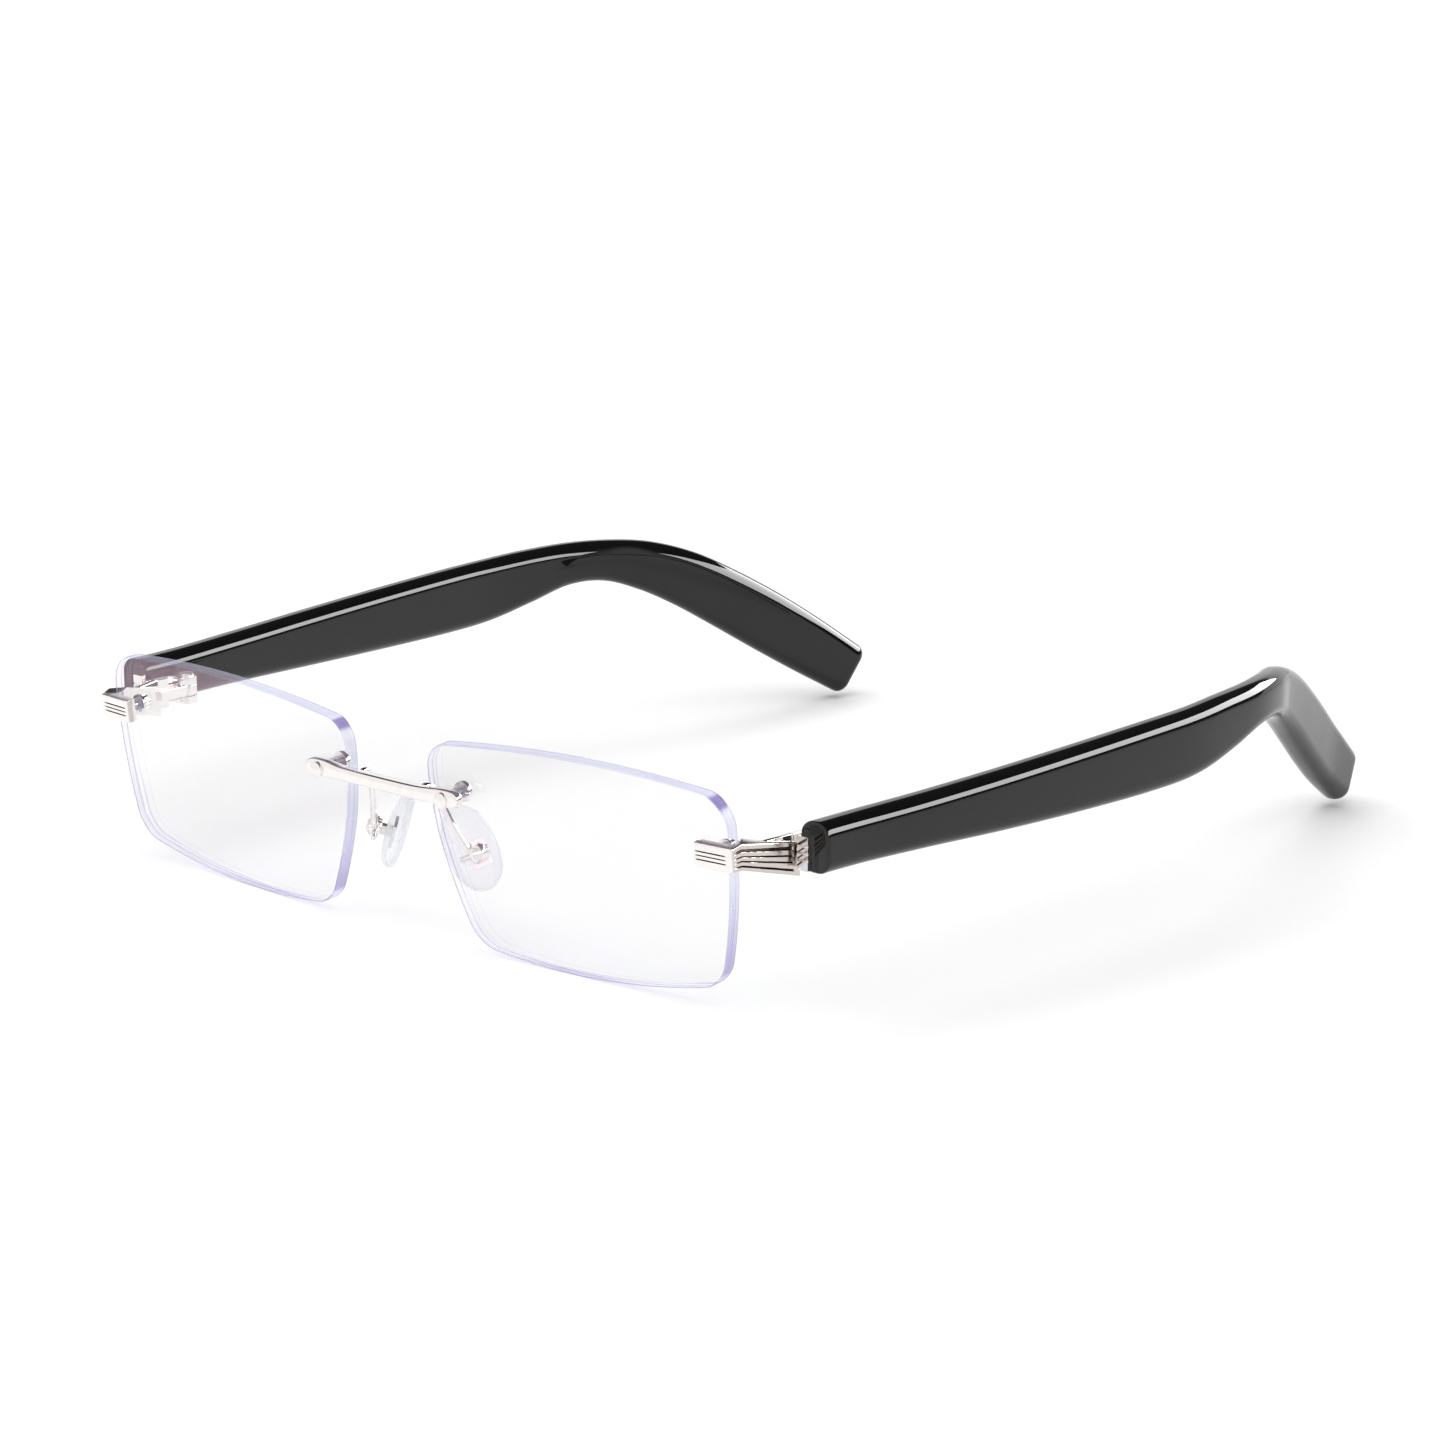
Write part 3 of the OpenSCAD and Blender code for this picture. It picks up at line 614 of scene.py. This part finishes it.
def nose_pad(side):
    rows, cols = 40, 48
    rings = []
    for i in range(rows + 1):
        a = math.radians(-PAD_END + 2 * PAD_END * i / rows)
        grow = math.sqrt(1 - abs(math.sin(a)) ** 2.6)
        z = PAD_L / 2 * math.sin(a) / math.sin(math.radians(PAD_END)) + PAD_MIDDLE[2]
        ring = []
        for k in range(cols):
            b = 2 * math.pi * k / cols
            thick = PAD_T / 2 * (0.35 + 0.65 * grow)
            ring.append((thick * math.cos(b) - 0.35 * (1 - grow) + PAD_MIDDLE[0],
                         PAD_W / 2 * grow * math.sin(b) + PAD_MIDDLE[1], z))
        rings.append(on_pad(ring))
    obj = loft("nose_pad_" + side + "_silicone", rings, SIDES[side], smooth_angle=70)
    finish_piece(obj, [SILICONE], "pad_" + side, ["nose_pad_" + side])


ARM = [
    [6.3, -2.6, 22.75], [6.3, -1.6, 22.75], [6.4, -0.6, 22.85], [6.6, 0.3, 22.45],
    [7.05, 0.9, 21.2], [7.45, 1.75, 19.3], [8.2, 2.5, 17.0], [9.05, 3.3, 15.0],
    [9.82, 4.17, 13.05],
]
ARM_R, ARM_SIDES = 0.5, 20
CUP_R, CUP_HALF_W, SLOT_HALF_W = 1.5, 1.2, 0.5
CUP_FRONT_X, CUP_BACK_X = -0.7, 0.95


def pad_arm(side):
    path = catmull(ARM, 10)
    t = tangents(path)
    rings = []
    for p, d in zip(path, t):
        a = np.cross(d, [1, 0, 0])
        a /= np.linalg.norm(a)
        b = np.cross(d, a)
        turns = [2 * math.pi * k / ARM_SIDES for k in range(ARM_SIDES)]
        rings.append(in_row([p + ARM_R * (math.cos(c) * a + math.sin(c) * b) for c in turns]))
    obj = loft("pad_arm_" + side + "_wire", rings, SIDES[side], smooth_angle=60)
    # The cup is the CAD shape again: a ball cut by two flats and a slot
    pts, faces = [], []
    cheek_rings, cheek_n, back_rings, back_n = 8, 30, 5, 20
    for y0, y1 in ((-CUP_HALF_W, -SLOT_HALF_W), (SLOT_HALF_W, CUP_HALF_W)):
        stack = []
        for y in np.linspace(y0, y1, cheek_rings):
            r = math.sqrt(CUP_R**2 - y * y)
            lim = math.acos(CUP_FRONT_X / r)
            arc = [(r * math.cos(a), y, r * math.sin(a))
                   for a in np.linspace(-lim, lim, cheek_n)]
            stack.append(on_pad(arc))
        base = len(pts)
        for s in stack:
            pts += list(s)
        faces += [tuple(base + i for i in f) for f in loft_faces(cheek_rings, cheek_n)]
    back = []
    for y in np.linspace(-SLOT_HALF_W, SLOT_HALF_W, back_rings):
        r = math.sqrt(CUP_R**2 - y * y)
        lim = math.acos(CUP_BACK_X / r)
        back.append(on_pad([(r * math.cos(a), y, r * math.sin(a))
                            for a in np.linspace(-lim, lim, back_n)]))
    base = len(pts)
    for s in back:
        pts += list(s)
    faces += [tuple(base + i for i in f) for f in loft_faces(back_rings, back_n)]
    cup = mesh_piece("pad_cup_" + side, pts, [f[::-1] for f in faces], SIDES[side], 40)
    finish_piece(obj, [BRIGHT], "front", ["pad_arm_" + side])
    cup.data.materials.append(BRIGHT)
    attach(cup, "front")


# ---- CAD nodes that stay, with rounded edges ------------------------------------------------
def keep(node, mat, bevel=0.08):
    obj = frame["nodes"][node]
    for i in range(len(obj.data.materials)):
        obj.data.materials[i] = mat
    if bevel:
        weld = obj.modifiers.new("weld", "WELD")
        weld.merge_threshold = 0.000002
        round_ = obj.modifiers.new("bevel", "BEVEL")
        round_.width = bevel * MM
        round_.segments = 3
        round_.limit_method = "ANGLE"
        round_.angle_limit = math.radians(40)
        round_.use_clamp_overlap = True
        round_.harden_normals = False


KEPT = (  # node without its side, material, rounding of its edges in mm
    ("bridge_screw_", BRIGHT, 0.05), ("bridge_bushing_", PLASTIC, 0),
    ("bridge_washer_", BRIGHT, 0.05), ("bridge_nut_", STEEL, 0.05),
    ("end_bushing_", PLASTIC, 0), ("end_washer_", BRIGHT, 0.05), ("end_nut_", BRIGHT, 0.04),
    ("hinge_tongue_", BRIGHT, 0.12), ("hinge_plate_", BRIGHT, 0.1), ("hinge_screw_", STEEL, 0.06),
    ("temple_core_", WIRE, 0), ("temple_pin_", STEEL, 0.05),
    ("pad_screw_", STEEL, 0.05), ("pad_insert_", INSERT, 0.08),
)

bridge()
for side in SIDES:
    lens(side)
    end_piece(side)
    temple(side)
    nose_pad(side)
    pad_arm(side)
    for node, mat, rounding in KEPT:
        keep(node + side, mat, rounding)


# ---- Floor, light and camera ----------------------------------------------------------------
def floor():
    s = 6.0
    mesh = bpy.data.meshes.new("floor")
    mesh.from_pydata([(-s, -s, 0), (s, -s, 0), (s, s, 0), (-s, s, 0)], [], [(0, 1, 2, 3)])
    obj = bpy.data.objects.new("floor", mesh)
    bpy.context.scene.collection.objects.link(obj)
    m, n, l, p = material("floor_paper")
    f = noise(n, l, 3, 2)
    l.new(ramp(n, l, f, [(0.3, (0.93, 0.93, 0.93)), (0.7, (0.94, 0.94, 0.94))]), p.inputs["Base Color"])
    p.inputs["Roughness"].default_value = 0.9
    p.inputs["Specular IOR Level"].default_value = 0.0
    mesh.materials.append(m)


def softbox(name, at, target, size, power):
    data = bpy.data.lights.new(name, "AREA")
    data.shape = "RECTANGLE"
    data.size, data.size_y = size
    data.energy = power
    obj = bpy.data.objects.new(name, data)
    obj.location = at
    obj.rotation_euler = (Vector(target) - Vector(at)).to_track_quat("-Z", "Y").to_euler()
    bpy.context.scene.collection.objects.link(obj)
    return obj


def studio():
    """Pale surroundings, darker high up behind the glasses, so that polished edges show it."""
    world = bpy.data.worlds.new("studio")
    world.use_nodes = True
    bpy.context.scene.world = world
    n, l = world.node_tree.nodes, world.node_tree.links
    coord = n.new("ShaderNodeTexCoord")
    axes = n.new("ShaderNodeSeparateXYZ")
    l.new(coord.outputs["Generated"], axes.inputs["Vector"])

    def rise(socket, start, end, top=1.0):
        m = n.new("ShaderNodeMapRange")
        m.interpolation_type = "SMOOTHSTEP"
        m.inputs["From Min"].default_value = start
        m.inputs["From Max"].default_value = end
        m.inputs["To Max"].default_value = top
        l.new(socket, m.inputs["Value"])
        return m.outputs["Result"]

    both = n.new("ShaderNodeMath")
    both.operation = "MULTIPLY"
    # The dark part starts low on the right and higher on the left
    lifted = n.new("ShaderNodeMath")
    lifted.operation = "ADD"
    l.new(axes.outputs["Z"], lifted.inputs[0])
    l.new(rise(axes.outputs["X"], 0.0, 0.35, 0.28), lifted.inputs[1])
    l.new(rise(lifted.outputs["Value"], 0.31, 0.40), both.inputs[0])
    l.new(rise(axes.outputs["Y"], -0.1, 0.25), both.inputs[1])
    shade = ramp(n, l, both.outputs["Value"], [(0.0, (1.0, 1.0, 1.0)), (1.0, (0.03, 0.03, 0.035))])
    l.new(shade, n["Background"].inputs["Color"])
    n["Background"].inputs["Strength"].default_value = 1.0


floor()
studio()
key = softbox("back_light", (-0.75, 0.95, 1.1), (0, 0, 0), (0.8, 0.8), 5)
key.visible_glossy = False
fill = softbox("overhead_light", (0, 0, 2.0), (0, 0, 0), (4.0, 4.0), 44)
fill.visible_glossy = False
strip = softbox("strip_light", (0.66, 0.98, 0.62), (0.05, 0.05, 0.02), (2.4, 0.46), 40)
strip.visible_diffuse = False

# Camera matched to the photograph's perspective
AZ, EL, ROLL = math.radians(43.97), math.radians(13.86), math.radians(-0.23)
CAMERA_AT = (567.56, -522.42 + BACK, 220.65)
look = Vector((-math.sin(AZ) * math.cos(EL), math.cos(AZ) * math.cos(EL), -math.sin(EL)))
right = Vector((math.cos(AZ), math.sin(AZ), 0))
up = right.cross(look)
right, up = (right * math.cos(ROLL) + up * math.sin(ROLL),
             up * math.cos(ROLL) - right * math.sin(ROLL))
cam_data = bpy.data.cameras.new("camera")
cam_data.sensor_width = 36.0
cam_data.lens = 140.15
cam_data.clip_start = 0.01
cam = bpy.data.objects.new("camera", cam_data)
rot = Matrix((right, up, -look)).transposed().to_4x4()
cam.matrix_world = Matrix.Translation(Vector(CAMERA_AT) * MM) @ rot
bpy.context.scene.collection.objects.link(cam)
bpy.context.scene.camera = cam
bpy.context.scene.view_settings.view_transform = "Standard"
